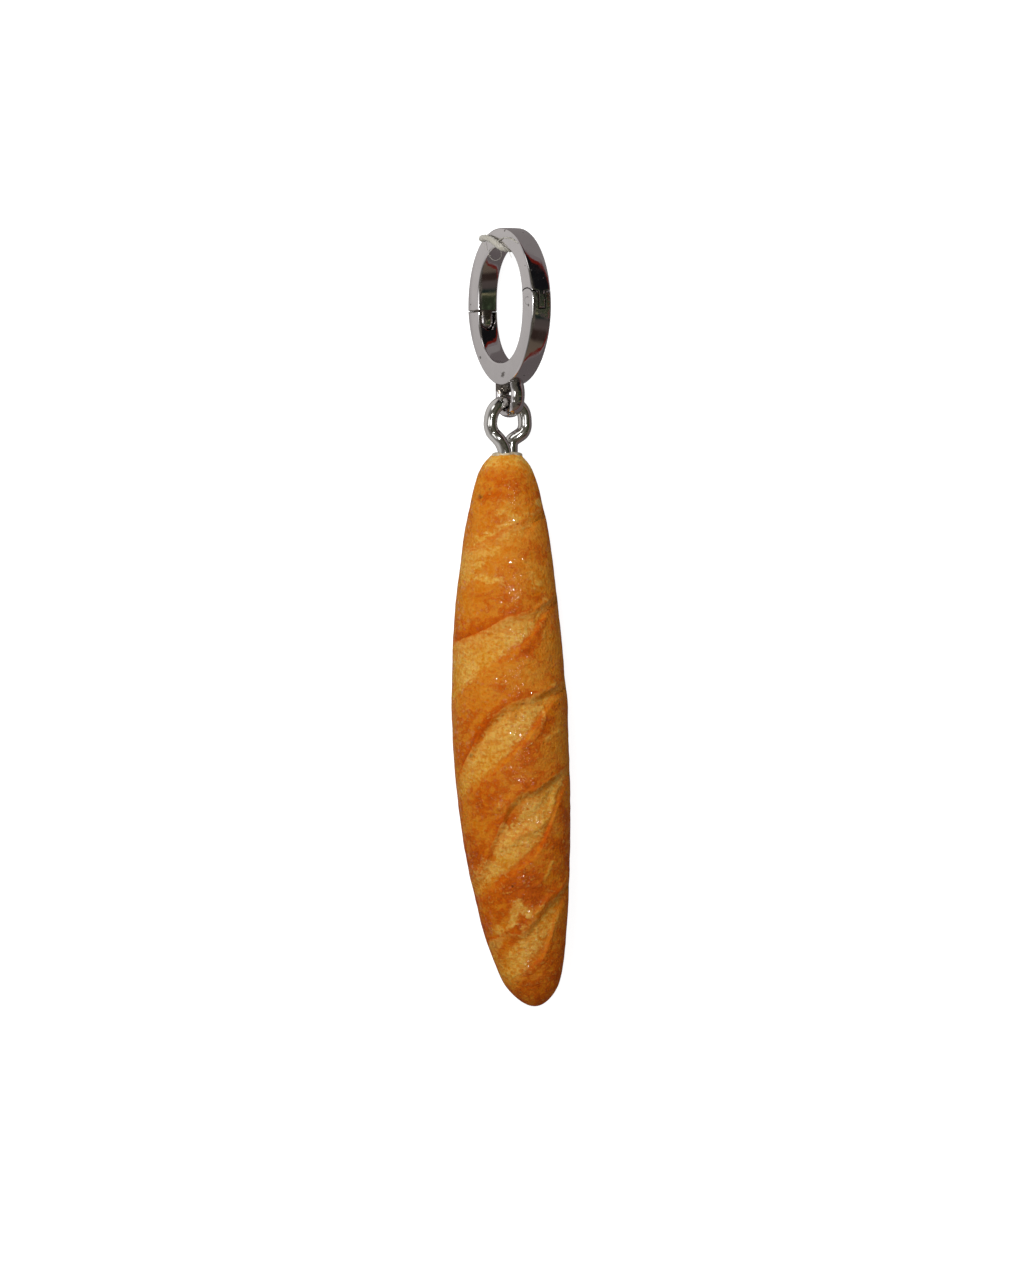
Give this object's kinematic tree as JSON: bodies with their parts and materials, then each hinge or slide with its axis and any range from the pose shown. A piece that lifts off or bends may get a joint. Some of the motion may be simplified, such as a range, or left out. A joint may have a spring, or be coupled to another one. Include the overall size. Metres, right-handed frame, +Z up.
{
  "type": "baguette charm",
  "caption": "Miniature clay baguette with diagonal scores on a wire eye, hung from an oval hinged metal clasp; a bag or bracelet charm.",
  "frame": {"origin": "on the surface the charm lies on, under the middle of its bounding box", "axes": "+Y along the charm from the loaf to the clasp, +Z up from the surface, +X to the right seen from above"},
  "size_m": [0.011, 0.0708, 0.01],
  "materials": {
    "baked_clay": "baked polymer clay, brushed orange brown on the crust and pale gold in the scores, under satin varnish",
    "clear_glue": "cloudy yellowed glue, uneven",
    "bright_wire": "drawn and bent steel wire, nickel plated, bright",
    "plated_clasp": "grey rhodium-tone plating, polished, with a few small pits",
    "hinge_steel": "filed flush",
    "cotton_thread": "twisted white cotton, slightly fuzzy and yellowed"
  },
  "bodies": {
    "loaf": {"loaf": "baked_clay", "glue_collar": "clear_glue", "wire_eye": "bright_wire"},
    "clasp": {"clasp_body": "plated_clasp", "hinge_pin": "hinge_steel"},
    "gate": {"clasp_gate": "plated_clasp", "thread_tie": "cotton_thread"}
  },
  "joints": [
    {"name": "clasp_swing", "type": "hinge", "parent": "loaf", "child": "clasp", "pos_m": [-0.00026, 0.01959, 0.00513], "axis": [-0.8387, 0, 0.5446], "range_deg": [-90, 90]},
    {"name": "gate_hinge", "type": "hinge", "parent": "clasp", "child": "gate", "pos_m": [0.0024, 0.02867, 0.00883], "axis": [0.8387, 0, -0.5446], "range_deg": [0, 75]}
  ]
}
